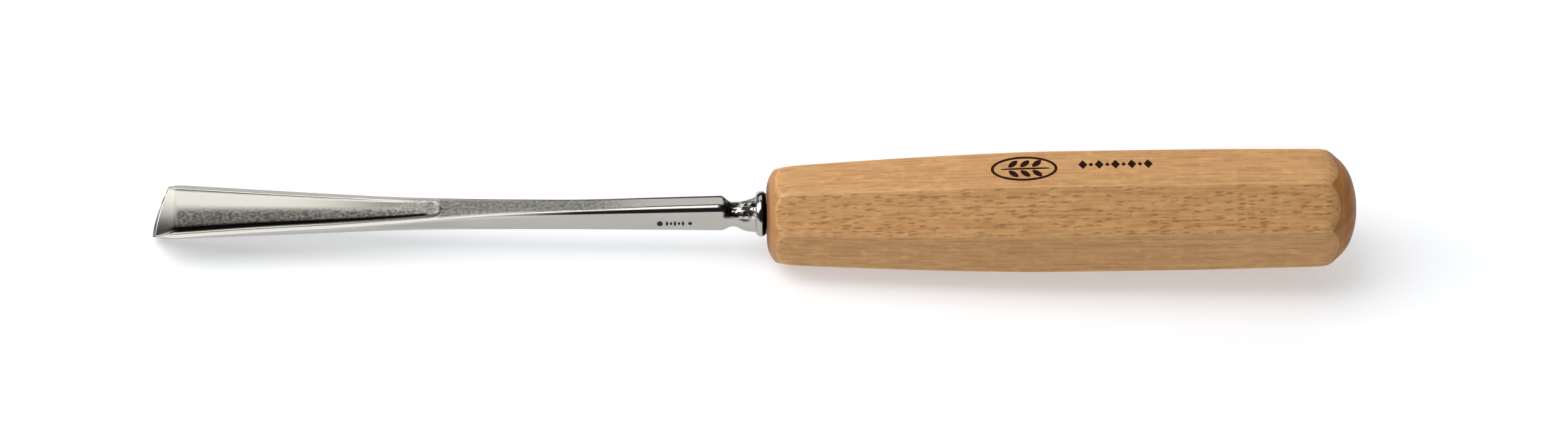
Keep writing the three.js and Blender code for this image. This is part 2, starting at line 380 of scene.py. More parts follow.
def facet_angles(steps):
    """Angles round the handle, crowded toward the edges between the facets."""
    angles = []
    for facet in range(FACETS):
        for i in range(steps):
            across = 2 * i / steps - 1
            bent = math.copysign(1 - (1 - abs(across)) ** FACET_CROWDING, across)
            angles.append((facet + bent / 2) * 2 * math.pi / FACETS)
    return angles


def dome_profile(steps):
    """(s, radius) round the butt: a Catmull-Rom curve through BUTT_DOME."""
    points = [Vector(point) for point in BUTT_DOME]
    points = [points[0] * 2 - points[1]] + points + [points[-1] * 2 - points[-2]]
    profile = []
    for a, b, c, d in zip(points, points[1:], points[2:], points[3:]):
        for i in range(steps):
            t = i / steps
            bend = (a * 2 - b * 5 + c * 4 - d) * t * t + (b * 3 - a - c * 3 + d) * t ** 3
            profile.append((b * 2 + (c - a) * t + bend) / 2)
    return [(point.x, point.y) for point in profile]


def handle_profile():
    """(s, radius of the turned envelope) from the nose to the butt."""
    length, height = NOSE_ROUND
    profile = []
    for i in range(NOSE_RINGS + 1):
        angle = math.pi / 2 * i / NOSE_RINGS
        radius = NOSE_FACE_RADIUS + height * math.sin(angle)
        profile.append((length * (1 - math.cos(angle)), radius))
    nose_radius = profile[-1][1]
    dome = dome_profile(DOME_RINGS)
    dome_start, dome_radius = dome[0]
    for i in range(1, BODY_RINGS):
        s = mix(length, dome_start, i / BODY_RINGS)
        rise_share = min(1, (s - length) / (BARREL_START - length))
        fall_share = max(0, (s - BARREL_END) / (dome_start - BARREL_END))
        rising = mix(nose_radius, HANDLE_FLATS, rise_share)
        falling = mix(HANDLE_FLATS, dome_radius, fall_share)
        profile.append((s, min(rising, falling)))
    return profile + dome


def make_handle():
    angles = facet_angles(FACET_COLUMNS)

    def ring(s, radius_at):
        points = []
        for angle in angles:
            radius = radius_at(angle)
            points.append((s, radius * math.sin(angle), radius * math.cos(angle)))
        return points

    def square_hole(half):
        return lambda angle: half / max(abs(math.sin(angle)), abs(math.cos(angle)))

    rings = [ring(s, square_hole(half)) for s, half in tang_profile(BORE_GAP)][::-1]
    rings.append(ring(RECESS_LENGTH, lambda angle: RECESS_RADIUS - RECESS_STEP))
    rings.append(ring(RECESS_LENGTH, lambda angle: RECESS_RADIUS))
    rings.append(ring(RECESS_CHAMFER, lambda angle: RECESS_RADIUS))
    rings.append(ring(0, lambda angle: RECESS_RADIUS + RECESS_CHAMFER))
    edge_highlight = [[0] * len(angles)] * len(rings)
    for s, envelope in handle_profile():
        rings.append(ring(s, lambda angle: handle_radius(s, envelope, angle)))
        edge_highlight.append([edge_highlight_at(s, envelope, angle) for angle in angles])
    rings.append([(HANDLE_LENGTH, 0, 0)] * len(angles))
    edge_highlight.append([0] * len(angles))
    return loft("handle", rings, {"edge_highlight": edge_highlight})


# ---------------------------------------------------------------- the blade


def tang_profile(gap):
    """(s, half width) of the tang, grown by a gap, from where it enters the wood to its point."""
    shoulder = TANG_LENGTH - TANG_POINT_LENGTH
    return [
        (RECESS_LENGTH, TANG_HALF + gap),
        (shoulder, TANG_END_HALF + gap),
        (TANG_LENGTH + gap, TANG_POINT_HALF + gap),
    ]


def make_tang():
    rings = []
    for s, half in [(TANG_START, TANG_HALF)] + tang_profile(0):
        inset = half * (1 - TANG_CHAMFER)
        corner = [(half, -inset), (half, inset), (inset, half), (-inset, half)]
        corner += [(-y, -z) for y, z in corner]
        rings.append([(s, y, z) for y, z in corner])
    return loft("tang", rings)


def column_share(column):
    return (column / WALL_COLUMNS) ** COLUMN_CROWDING


def groove_at(s):
    """(valley, half width of the mouth) of the groove. Behind its scoop both have closed up."""
    if s <= SCOOP_START:
        return curve_value(GROOVE_SECTIONS, 1, s), curve_value(GROOVE_SECTIONS, 2, s)
    _, valley, mouth = GROOVE_SECTIONS[-1]
    top = curve_value(BLADE_SECTIONS, 2, s)
    open_share = math.sqrt(max(0, 1 - ((s - SCOOP_START) / SCOOP_LENGTH) ** 2))
    return mix(top, valley, open_share), mouth * open_share


def rounded_share(share, width, rounding):
    """How far up a wall is at a share of its width, where its foot is rounded off."""
    if width < 1e-6:
        return share
    foot = math.hypot(share * width, rounding) - rounding
    return foot / (math.hypot(width, rounding) - rounding)


def outer_wall(s):
    """Points of one side from the keel to the start of the rounded top corner."""
    half, top, keel, low_half, low, corner_round = [curve_value(BLADE_SECTIONS, i, s) for i in range(1, 7)]
    corner = Vector((low_half, low))
    foot = Vector((0, keel))
    head = Vector((half, top - corner_round))
    before = corner + (foot - corner).normalized() * LOWER_CORNER
    after = corner + (head - corner).normalized() * LOWER_CORNER
    points = []
    for i in range(LOW_FIRST):
        share = (i / LOW_FIRST) ** COLUMN_CROWDING
        rise = rounded_share(share, before.x, KEEL_ROUND)
        points.append((before.x * share, mix(keel, before.y, rise)))
    for i in range(LOW_FIRST, LOW_LAST):
        t = (i - LOW_FIRST) / (LOW_LAST - LOW_FIRST)
        point = before.lerp(corner, t).lerp(corner.lerp(after, t), t)
        points.append((point.x, point.y))
    for i in range(LOW_LAST, WALL_COLUMNS + 1):
        t = (i - LOW_LAST) / (WALL_COLUMNS - LOW_LAST)
        points.append((mix(after.x, head.x, t), mix(after.y, head.y, t)))
    return points


def inner_wall(s, top):
    """Points of one side of the groove from its rim down to the valley."""
    valley, mouth = groove_at(s)
    points = []
    for column in range(WALL_COLUMNS, -1, -1):
        share = column_share(column)
        rise = rounded_share(share, mouth, VALLEY_ROUND)
        points.append((mouth * share, mix(valley, top, rise)))
    return points


def half_section(s):
    """One side of the blade, from the keel round the outside, over the rim and down the groove."""
    half, top, corner_round = [curve_value(BLADE_SECTIONS, i, s) for i in (1, 2, 6)]
    inner = inner_wall(s, top)
    mouth = inner[0][0]
    chamfer = min(RIM_CHAMFER, mouth / 2)
    inner[0] = (mouth, top - chamfer)
    points = outer_wall(s)
    for i in range(1, CORNER_COLUMNS + 1):
        angle = math.pi / 2 * i / CORNER_COLUMNS
        y = half - corner_round * (1 - math.cos(angle))
        points.append((y, top - corner_round * (1 - math.sin(angle))))
    land_start = points[-1][0]
    for i in range(1, LAND_COLUMNS + 1):
        points.append((mix(land_start, mouth + chamfer, i / LAND_COLUMNS), top))
    return points + inner


# For each column of half_section: its share of the way from the keel to the rim, and if it is
# on the inside of the V.
OUTER_SHARES = [(column_share(i), False) for i in range(WALL_COLUMNS + 1)]
TOP_SHARES = [(1, False)] * (CORNER_COLUMNS + LAND_COLUMNS // 2) + [(1, True)] * (LAND_COLUMNS // 2)
INNER_SHARES = [(column_share(i), True) for i in range(WALL_COLUMNS, -1, -1)]
COLUMNS = OUTER_SHARES + TOP_SHARES + INNER_SHARES


def edge_point(share):
    """The cutting edge, from the keel (0) to the tip of a wing (1)."""
    s = mix(EDGE_KEEL[0], EDGE_WING[0], share ** EDGE_BOW)
    return s, EDGE_WING[1] * share, mix(EDGE_KEEL[1], EDGE_WING[2], share)


def mirrored(side):
    """A whole ring from its far side: the keel and the valley are on the middle plane."""
    return side + [(s, -y, z) for s, y, z in side[-2:0:-1]]


def ground_ring(amount):
    """A ring on the bevels: amount 0 is the cutting edge, and 1 is the back of the bevels."""
    side = []
    for column, (share, inside) in enumerate(COLUMNS):
        edge_s, edge_y, edge_z = edge_point(share)
        back = HONED_BACK if inside else edge_s + OUTER_BEVEL
        s = mix(edge_s, back, amount)
        y, z = half_section(s)[column]
        side.append((s, mix(edge_y, y, amount), mix(edge_z, z, amount)))
    return mirrored(side)


def straightening_ring(amount):
    """A ring between the back of the bevels and the first one that is square to the axis."""
    side = []
    for column, (share, inside) in enumerate(COLUMNS):
        back = HONED_BACK if inside else edge_point(share)[0] + OUTER_BEVEL
        s = mix(back, STRAIGHT_FROM, amount)
        y, z = half_section(s)[column]
        side.append((s, y, z))
    return mirrored(side)


def square_ring(s):
    """A ring that is square to the axis."""
    return mirrored([(s, y, z) for y, z in half_section(s)])


def blade_stations():
    """Places of the square rings from the end of the bevels to the end of the shank."""
    groove = [mix(STRAIGHT_FROM, SCOOP_START, share) for share in shares(GROOVE_RINGS)]
    scoop = [SCOOP_START + SCOOP_LENGTH * math.sin(math.pi / 2 * share) for share in shares(SCOOP_RINGS)]
    shank = [mix(scoop[-1], SHANK_END, share) for share in shares(SHANK_RINGS)]
    return groove + scoop + shank


def neck_profile():
    """(s, radius) from the end of the shank to the back of the bolster."""
    profile = [(SHANK_END + NECK_STEP * i, NECK_RADIUS) for i in range(1, NECK_RINGS + 1)]
    cove_length = COVE_END - NECK_WAIST
    for share in shares(COVE_RINGS):
        angle = math.pi / 2 * share
        rise = COVE_HEIGHT * (1 - math.cos(angle))
        profile.append((NECK_WAIST + cove_length * math.sin(angle), NECK_RADIUS + rise))
    for share in [0] + shares(FLANGE_RINGS):
        angle = math.radians(mix(*FLANGE_ARC, share))
        s = FLANGE_CENTER + FLANGE_ROUND * math.cos(angle)
        profile.append((s, FLANGE_RADIUS - FLANGE_ROUND * (1 - math.sin(angle))))
    profile.append(BOLSTER_BACK)
    return profile


def neck_ring(s, radius, shank_side):
    """A ring of the neck, which turns the shank's outline into a circle."""
    round_share = smooth_step(SHANK_END, SHANK_END + NECK_BLEND, s)
    flare_share = min(1, max(0, (s - NECK_WAIST) / (COVE_END - NECK_WAIST)))
    side = []
    for y, z in shank_side:
        angle = math.atan2(y, z - BLADE_RISE)
        underside = smooth_step(*UNDERSIDE_ANGLES, angle)
        full = radius + LOWER_FLARE * underside * math.sin(math.pi * flare_share)
        full_y = full * math.sin(angle)
        full_z = BLADE_RISE + full * math.cos(angle)
        side.append((s, mix(y, full_y, round_share), mix(z, full_z, round_share)))
    return mirrored(side)


# The zones of the steel, with light and shade painted in. Each function takes a point of the blade
# and, but for the neck's, if it is inside the V and its share of the way from the keel or the valley to
# the rim.


def scale_and_shade_at(s, y, z, inside, share):
    """How much dark forging scale the steel keeps, from 0 (ground away) to 1. In the lower part of
    the groove it also stands for painted shade.
    """
    if s > SHANK_END:
        return 0
    if inside and s < SCOOP_END - 0.05:
        # Painted shade: the lower part of the groove darker, partly scale and partly the near wall's
        # shadow.
        lower = 1 - smooth_step(*SCALE_AND_SHADE_SHARES, share)
        behind_honing = smooth_step(HONED_BACK, HONED_BACK + HONED_FADE, s)
        return mix(lower, BACK_SCALE, smooth_step(*SCALED_BACK, s)) * behind_honing
    top = curve_value(BLADE_SECTIONS, 2, s)
    half = curve_value(BLADE_SECTIONS, 1, s)
    on_top = smooth_step(*TOP_SCALE_UP, z - top)
    off_rims = 1 - smooth_step(*TOP_SCALE_RIMS, abs(y) - half)
    behind_groove = smooth_step(*TOP_SCALE_FRONT, s - SCOOP_END)
    return TOP_SCALE * on_top * off_rims * behind_groove * (1 - smooth_step(*TOP_SCALE_BACK, s))


def satin_and_light_at(s, y, z, inside, share):
    """How pale and dull the steel is: painted light in the upper part of the groove, the honed end,
    partly its real finish and partly painted light, and a painted highlight along the near rim.
    """
    if share == 1:
        # Painted highlight along the near rim.
        half = curve_value(BLADE_SECTIONS, 1, s)
        near_rim = smooth_step(*RIM_HIGHLIGHT_WIDTH, -y - half)
        return RIM_HIGHLIGHT * near_rim * (1 - smooth_step(*RIM_HIGHLIGHT_BACK, s))
    if not inside or s > SCOOP_END:
        return 0
    # Painted light: the upper part of the groove paler, and the honed end paler toward its rim.
    honed = 1 - smooth_step(HONED_BACK, HONED_BACK + HONED_FADE, s)
    upper = smooth_step(*SATIN_AND_LIGHT_SHARES, share) * (1 - smooth_step(*SATIN_AND_LIGHT_BACK, s))
    return mix(upper, mix(*HONED_SATIN_AND_LIGHT, smooth_step(*HONED_SHARES, share)), honed)


def lumps_and_reflections_at(s, y, z):
    """How lumpy the steel is. The upper half of the neck is left as it was forged, and bright and
    black reflections are painted on it."""
    upper = 1 - smooth_step(*LUMPS_AND_REFLECTIONS_ANGLES, math.atan2(abs(y), z - BLADE_RISE))
    past_shank = smooth_step(*LUMPS_AND_REFLECTIONS_FRONT, s - SHANK_END)
    return upper * past_shank * (1 - smooth_step(*LUMPS_AND_REFLECTIONS_BACK, s - COVE_END))


def painted_shade_at(s, y, z, inside, share):
    """How black the steel is with painted shade: in the valley and the scoop of the groove and on
    the back of the bolster, and as a painted dark reflection behind the shank."""
    groove = 0
    if inside and s < SCOOP_START:
        line = (1 - smooth_step(*SHADE_LINE, share)) * smooth_step(*SHADE_FRONT, s)
        spread = 1 - smooth_step(*SHADE_SPREAD, share)
        groove = SHADE_LINE_AMOUNT * line + SHADE_SPREAD_AMOUNT * spread
    elif inside and share < 1 and s < SCOOP_END:
        groove = SCOOP_SHADE
    behind_shank = lumps_and_reflections_at(s, y, z) * (1 - smooth_step(*NECK_SHADE, s - SHANK_END))
    on_back = smooth_step(*BOLSTER_SHADE, s - FLANGE_CENTER)
    return max(groove, behind_shank, on_back)


def make_blade():
    rings = [ground_ring(share) for share in [0] + shares(BEVEL_RINGS)]
    rings += [straightening_ring(share) for share in shares(STRAIGHTENING_RINGS)]
    rings += [square_ring(s) for s in blade_stations()]
    shank_side = half_section(SHANK_END)
    rings += [neck_ring(s, radius, shank_side) for s, radius in neck_profile()]
    columns = COLUMNS + COLUMNS[-2:0:-1]
    zones = {"scale": [], "satin_and_light": [], "painted_shade": [], "lumps": []}
    for ring in rings:
        marked = [(*point, inside, share) for point, (share, inside) in zip(ring, columns)]
        zones["scale"].append([scale_and_shade_at(*mark) for mark in marked])
        zones["satin_and_light"].append([satin_and_light_at(*mark) for mark in marked])
        zones["painted_shade"].append([painted_shade_at(*mark) for mark in marked])
        zones["lumps"].append([lumps_and_reflections_at(*point) for point in ring])
    return loft("blade", rings, zones)


# ---------------------------------------------------------------- marks


def plate(shape, outline, spot):
    """A thin closed plate. outline is a loop of (s, across), and spot turns a point of it, with
    its height above the surface, into its place."""
    top = [shape.verts.new(spot(s, across, PLATE / 2)) for s, across in outline]
    bottom = [shape.verts.new(spot(s, across, -PLATE / 2)) for s, across in outline]
    count = len(outline)
    shape.faces.new(top)
    shape.faces.new(bottom[::-1])
    for i in range(count):
        j = (i + 1) % count
        shape.faces.new((top[j], top[i], bottom[i], bottom[j]))


def band(shape, inner, outer, spot):
    """A thin closed ring between two loops of the same length."""
    levels = []
    for loop in (inner, outer):
        for lift in (PLATE / 2, -PLATE / 2):
            levels.append([shape.verts.new(spot(s, across, lift)) for s, across in loop])
    inner_top, inner_bottom, outer_top, outer_bottom = levels
    count = len(inner)
    for first, second in (
        (inner_top, outer_top),
        (outer_top, outer_bottom),
        (outer_bottom, inner_bottom),
        (inner_bottom, inner_top),
    ):
        for i in range(count):
            j = (i + 1) % count
            shape.faces.new((first[i], first[j], second[j], second[i]))


def ellipse(center_s, center_across, half_s, half_across, turn=0, steps=20, pointed=1.0):
    """A loop of points. pointed above 1 draws the ends out, as on a leaf."""
    points = []
    for i in range(steps):
        angle = 2 * math.pi * i / steps
        along = half_s * math.cos(angle)
        side = half_across * math.copysign(abs(math.sin(angle)) ** pointed, math.sin(angle))
        s = center_s + along * math.cos(turn) - side * math.sin(turn)
        across = center_across + along * math.sin(turn) + side * math.cos(turn)
        points.append((s, across))
    return points


def on_top_facet(s, across, lift):
    return place(s, across, facet_distance(s) + lift)


def on_shank_side(s, up, lift):
    """up is measured from the axis, on the near side of the shank."""
    half, low_half, low, top, corner_round = [curve_value(BLADE_SECTIONS, i, s) for i in (1, 4, 5, 2, 6)]
    rise = (up - low) / (top - corner_round - low)
    return place(s, -mix(low_half, half, rise) - lift, up)


def finish_marks(name, shape):
    """The object of a mesh that plates and bands have been added to."""
    bmesh.ops.recalc_face_normals(shape, faces=shape.faces)
    mesh = bpy.data.meshes.new(name)
    shape.to_mesh(mesh)
    shape.free()
    return new_object(name, mesh)


def make_handle_mark():
    """A leaf sprig in an oval, and a row of lozenges, burned into the top facet."""
    shape = bmesh.new()
    s, across, half_s, half_across = EMBLEM
    outer = ellipse(s, across, half_s, half_across, steps=EMBLEM_POINTS)
    inner = ellipse(s, across, half_s - EMBLEM_LINE, half_across - EMBLEM_LINE, steps=EMBLEM_POINTS)
    band(shape, inner, outer, on_top_facet)
    stem_behind, *stem_size = STEM
    plate(shape, ellipse(s + stem_behind, across, *stem_size, pointed=0.6), on_top_facet)
    for pair in range(LEAF_PAIRS):
        leaf_s = s + LEAVES_START + LEAVES_STEP * pair
        for side in (-1, 1):
            leaf = ellipse(leaf_s, across + side * LEAF_ACROSS, *LEAF_SIZE, side * LEAF_TURN, pointed=1.4)
            plate(shape, leaf, on_top_facet)
    for i in range(BEADS_COUNT):
        bead_size = LARGE_BEAD if i % 2 == 0 else SMALL_BEAD
        bead = ellipse(BEADS_START + BEADS_STEP * i, BEADS_ACROSS, *bead_size, steps=4)
        plate(shape, bead, on_top_facet)
    return finish_marks("burned_mark", shape)


def make_shank_mark():
    """A row of small punch marks on the near side of the shank."""
    shape = bmesh.new()
    for s, half_s, half_up in (FIRST_PUNCH, LAST_PUNCH):
        plate(shape, ellipse(s, PUNCH_UP, half_s, half_up), on_shank_side)
    for i, height in enumerate(PUNCH_ROW_HEIGHTS):
        punch_s = PUNCH_ROW_START + PUNCH_ROW_STEP * i
        plate(shape, ellipse(punch_s, PUNCH_UP, PUNCH_ROW_HALF, height, steps=12), on_shank_side)
    return finish_marks("punch_marks", shape)


# ---------------------------------------------------------------- materials


def from_srgb(red, green, blue):
    def linear(value):
        value /= 255
        return value / 12.92 if value <= 0.04045 else ((value + 0.055) / 1.055) ** 2.4

    return (linear(red), linear(green), linear(blue), 1)


class Nodes:
    """A material's node tree, and short ways to add to it."""

    def __init__(self, name):
        self.material = bpy.data.materials.new(name)
        self.material.use_nodes = True
        self.tree = self.material.node_tree
        self.shader = self.tree.nodes["Principled BSDF"]

    def add(self, kind, **settings):
        node = self.tree.nodes.new(kind)
        for key, value in settings.items():
            setattr(node, key, value)
        return node

    def join(self, socket, value):
        if isinstance(value, bpy.types.NodeSocket):
            self.tree.links.new(value, socket)
        else:
            socket.default_value = value

    def stretched(self, size_x, size_y, size_z):
        """Object coordinates, counted in features of these sizes in millimetres."""
        coords = self.add("ShaderNodeTexCoord").outputs["Object"]
        mapping = self.add("ShaderNodeMapping")
        self.join(mapping.inputs["Vector"], coords)
        scale = [1 / (size * MM) for size in (size_x, size_y, size_z)]
        mapping.inputs["Scale"].default_value = scale
        return mapping.outputs["Vector"]

    def noise(self, vector, detail=3.0, roughness=0.55, distortion=0.0):
        node = self.add("ShaderNodeTexNoise")
        self.join(node.inputs["Vector"], vector)
        node.inputs["Scale"].default_value = 1
        node.inputs["Detail"].default_value = detail
        node.inputs["Roughness"].default_value = roughness
        node.inputs["Distortion"].default_value = distortion
        return node.outputs["Fac"]

    def cells(self, vector):
        node = self.add("ShaderNodeTexVoronoi")
        self.join(node.inputs["Vector"], vector)
        node.inputs["Scale"].default_value = 1
        return node

    def remap(self, value, low, high, to_low=0.0, to_high=1.0):
        node = self.add("ShaderNodeMapRange", interpolation_type="SMOOTHSTEP")
        for name, part in (
            ("Value", value),
            ("From Min", low),
            ("From Max", high),
            ("To Min", to_low),
            ("To Max", to_high),
        ):
            self.join(node.inputs[name], part)
        return node.outputs["Result"]

    def rings(self, vector, distortion):
        node = self.add("ShaderNodeTexWave", wave_type="RINGS", rings_direction="X")
        self.join(node.inputs["Vector"], vector)
        node.inputs["Scale"].default_value = 1
        node.inputs["Distortion"].default_value = distortion
        node.inputs["Detail"].default_value = 2
        return node.outputs["Fac"]

    def math(self, operation, first, second=0.0):
        node = self.add("ShaderNodeMath", operation=operation)
        self.join(node.inputs[0], first)
        self.join(node.inputs[1], second)
        return node.outputs["Value"]

    def times(self, first, second):
        return self.math("MULTIPLY", first, second)

    def moved(self, vector, by):
        node = self.add("ShaderNodeVectorMath", operation="ADD")
        self.join(node.inputs[0], vector)
        self.join(node.inputs[1], by)
        return node.outputs["Vector"]

    def blend(self, amount, first, second):
        node = self.add("ShaderNodeMix", data_type="RGBA")
        self.join(node.inputs["Factor"], amount)
        self.join(node.inputs["A"], first)
        self.join(node.inputs["B"], second)
        return node.outputs["Result"]

    def attribute(self, name):
        return self.add("ShaderNodeAttribute", attribute_name=name).outputs["Fac"]

    def bump(self, height, distance, normal=None):
        """distance is the height of a full step, in millimetres."""
        node = self.add("ShaderNodeBump")
        node.inputs["Distance"].default_value = distance * MM
        self.join(node.inputs["Height"], height)
        if normal is not None:
            self.join(node.inputs["Normal"], normal)
        return node.outputs["Normal"]

    def finish(self, color, roughness, normal, **plain):
        self.join(self.shader.inputs["Base Color"], color)
        self.join(self.shader.inputs["Roughness"], roughness)
        self.join(self.shader.inputs["Normal"], normal)
        for name, value in plain.items():
            self.shader.inputs[name.replace("_", " ")].default_value = value
        return self.material


def beech_flecks(nodes, shown):
    """Short dark flecks along the grain: one in each cell, and smaller in some than in others."""
    wander = nodes.noise(nodes.stretched(1.2, 0.5, 0.5), detail=2)
    flecks = nodes.cells(nodes.moved(nodes.stretched(2.3, 0.48, 0.48), wander))
    chosen = nodes.add("ShaderNodeSeparateColor")
    nodes.join(chosen.inputs["Color"], flecks.outputs["Color"])
    size = nodes.remap(chosen.outputs["Red"], 0.1, 1.0, 0.02, 0.5)
    fleck = nodes.math("SUBTRACT", size, flecks.outputs["Distance"])
    return nodes.times(nodes.remap(fleck, -0.16, 0.2), shown)


def beech_end_grain(nodes):
    """The colour of the butt: dark pores and faint year rings."""
    pores = nodes.remap(nodes.noise(nodes.stretched(6, 0.4, 0.4), detail=2), 0.52, 0.68)
    rings = nodes.rings(nodes.moved(nodes.stretched(40, 11, 11), HEART), 1.2)
    years = nodes.remap(rings, 0.2, 0.9, 0, 0.45)
    color = nodes.blend(years, from_srgb(164, 100, 22), from_srgb(130, 74, 12))
    return nodes.blend(nodes.times(pores, 0.45), color, from_srgb(104, 60, 20))


def beech_material():
    """Lacquered beech. It has flecks on its slanted facets and is darker on its ends, with painted shade
    at the very edge of the nose and a painted highlight along its edges."""
    nodes = Nodes("beech")
    broad = nodes.noise(nodes.stretched(60, 7, 7), detail=2)
    streaks = nodes.noise(nodes.stretched(14, 0.5, 0.5), detail=4)
    mottle = nodes.noise(nodes.stretched(3.0, 1.6, 1.6), detail=3)
    facing = nodes.add("ShaderNodeSeparateXYZ")
    nodes.join(facing.inputs["Vector"], nodes.add("ShaderNodeNewGeometry").outputs["Normal"])
    forward = facing.outputs["X"]
    slanted = nodes.math("ABSOLUTE", nodes.times(facing.outputs["Y"], facing.outputs["Z"]))
    shown = nodes.remap(slanted, 0.1, 0.45, 0.2, 0.66)
    fleck = beech_flecks(nodes, shown)

    color = nodes.blend(broad, from_srgb(184, 136, 85), from_srgb(203, 157, 105))
    color = nodes.blend(nodes.remap(streaks, 0.38, 0.7, 0, 0.6), color, from_srgb(158, 110, 64))
    color = nodes.blend(nodes.remap(mottle, 0.45, 0.75, 0, 0.5), color, from_srgb(212, 168, 114))
    color = nodes.blend(fleck, color, from_srgb(142, 94, 50))
    color = nodes.blend(nodes.remap(forward, 0.4, 0.8, 0, 0.96), color, beech_end_grain(nodes))
    color = nodes.blend(nodes.remap(forward, -0.3, -0.85, 0, 0.6), color, from_srgb(150, 100, 54))
    # Painted shade: darker still at the very edge of the nose.
    color = nodes.blend(nodes.remap(forward, -0.86, -0.98, 0, 0.8), color, from_srgb(104, 62, 28))
    # Painted highlight: paler wood along the edges between the facets and where they meet the rounded
    # ends.
    edge_highlight = nodes.times(nodes.attribute("edge_highlight"), 0.34)
    color = nodes.blend(edge_highlight, color, from_srgb(226, 186, 134))

    roughness = nodes.remap(mottle, 0.3, 0.7, 0.46, 0.6)
    lumps = nodes.times(nodes.noise(nodes.stretched(2.6, 0.9, 0.9), detail=2), shown)
    relief = nodes.math("ADD", streaks, nodes.times(lumps, 2.5))
    relief = nodes.math("SUBTRACT", relief, fleck)
    return nodes.finish(color, roughness, nodes.bump(relief, 0.05), Specular_IOR_Level=0.25)


def steel_color(nodes, zones, pits, clouds, blotches):
    """Ground steel, with these zones over it in order: duller steel with painted light, scale partly
    standing for painted shade, the neck's painted reflections, and painted shade.
    """
    ground = nodes.blend(clouds, from_srgb(170, 167, 160), from_srgb(180, 177, 170))
    # Painted light: paler steel in the groove's upper part and honed end, and a painted highlight along
    # the near rim.
    ground = nodes.blend(zones["satin_and_light"], ground, from_srgb(220, 217, 207))
    pitted = nodes.remap(pits, 0.36, 0.66)
    forged = nodes.blend(pitted, from_srgb(106, 104, 100), from_srgb(170, 166, 159))
    # Scale, which in the lower part of the groove is also painted shade.
    color = nodes.blend(zones["scale"], ground, forged)
    # Painted reflections: bright and black patches on the neck.
    reflection_patch = nodes.remap(blotches, 0.42, 0.56)
    painted_reflections = nodes.blend(reflection_patch, from_srgb(38, 36, 34), from_srgb(226, 224, 217))
    color = nodes.blend(zones["lumps"], color, painted_reflections)
    # Painted shade and a painted dark reflection: the steel made nearly black.
    return nodes.blend(zones["painted_shade"], color, from_srgb(12, 11, 10))


def steel_material():
    """Forged and ground steel. Where it keeps its scale it is darker, rougher and pitted."""
    nodes = Nodes("tool_steel")
    zones = {name: nodes.attribute(name) for name in ("scale", "satin_and_light", "painted_shade", "lumps")}
    grinding = nodes.noise(nodes.stretched(0.12, 2.5, 2.5), detail=3)
    pits = nodes.noise(nodes.stretched(0.7, 0.45, 0.45), detail=4, roughness=0.6)
    clouds = nodes.noise(nodes.stretched(9, 3, 3), detail=2)
    blotches = nodes.noise(nodes.stretched(2.2, 1.3, 1.3), detail=2)
    rough = nodes.remap(grinding, 0.3, 0.7, 0.15, 0.2)
    for name, amount in (("scale", 0.3), ("satin_and_light", 0.35), ("lumps", 0.06)):
        rough = nodes.math("ADD", rough, nodes.times(zones[name], amount))
    normal = nodes.bump(grinding, 0.0005)
    normal = nodes.bump(nodes.times(pits, zones["scale"]), 0.06, normal)
    normal = nodes.bump(nodes.times(blotches, zones["lumps"]), 0.35, normal)
    shine = nodes.math("SUBTRACT", 1, nodes.times(zones["satin_and_light"], 0.85))
    nodes.join(nodes.shader.inputs["Metallic"], nodes.math("MAXIMUM", shine, zones["scale"]))
    color = steel_color(nodes, zones, pits, clouds, blotches)
    return nodes.finish(color, rough, normal)


def char_material():
    """Wood burned by a hot stamp."""
    nodes = Nodes("burned_wood")
    grain = nodes.noise(nodes.stretched(2.5, 0.3, 0.3), detail=3)
    color = nodes.blend(nodes.remap(grain, 0.35, 0.7), from_srgb(22, 5, 2), from_srgb(52, 22, 10))
    roughness = nodes.remap(grain, 0.3, 0.7, 0.7, 0.85)
    return nodes.finish(color, roughness, nodes.bump(grain, 0.02), Specular_IOR_Level=0.1)


def punched_material():
    """The dark bottoms of punch marks in steel."""
    nodes = Nodes("punched_steel")
    grain = nodes.noise(nodes.stretched(0.2, 0.2, 0.2), detail=2)
    color = nodes.blend(grain, from_srgb(20, 19, 18), from_srgb(52, 50, 48))
    roughness = nodes.remap(grain, 0.3, 0.7, 0.55, 0.75)
    return nodes.finish(color, roughness, nodes.bump(grain, 0.02), Metallic=0.6)


def ring_material():
    """The turned steel of the ring in the nose."""
    nodes = Nodes("ring_steel")
    turning = nodes.noise(nodes.stretched(0.15, 3, 3), detail=3)
    color = nodes.blend(turning, from_srgb(150, 148, 144), from_srgb(188, 186, 181))
    roughness = nodes.remap(turning, 0.3, 0.7, 0.3, 0.45)
    return nodes.finish(color, roughness, nodes.bump(turning, 0.004), Metallic=1.0)


def floor_material():
    """A matt white floor that fades into the white of the background away from the tool."""
    nodes = Nodes("studio_floor")
    grain = nodes.noise(nodes.stretched(6, 6, 6), detail=2)
    away = nodes.add("ShaderNodeVectorMath", operation="LENGTH")
    nodes.join(away.inputs[0], nodes.add("ShaderNodeTexCoord").outputs["Object"])
    fading = nodes.remap(away.outputs["Value"], *FLOOR_FADE)
    color = nodes.blend(grain, from_srgb(199, 201, 204), from_srgb(203, 205, 208))
    color = nodes.blend(fading, color, (0, 0, 0, 1))
    glow = nodes.remap(fading, 0, 0.5, FLOOR_GLOW, 1)
    nodes.join(nodes.shader.inputs["Emission Strength"], glow)
    white = (1, 1, 1, 1)
    relief = nodes.bump(grain, 0.01)
    return nodes.finish(color, 0.9, relief, Specular_IOR_Level=0, Emission_Color=white)


def give(obj, material, slot=None):
    """Gives obj its material. With a slot, it is also a piece of the tool."""
    obj.data.materials.clear()
    obj.data.materials.append(material)
    if slot:
        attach(obj, ROOT)


# ---------------------------------------------------------------- studio


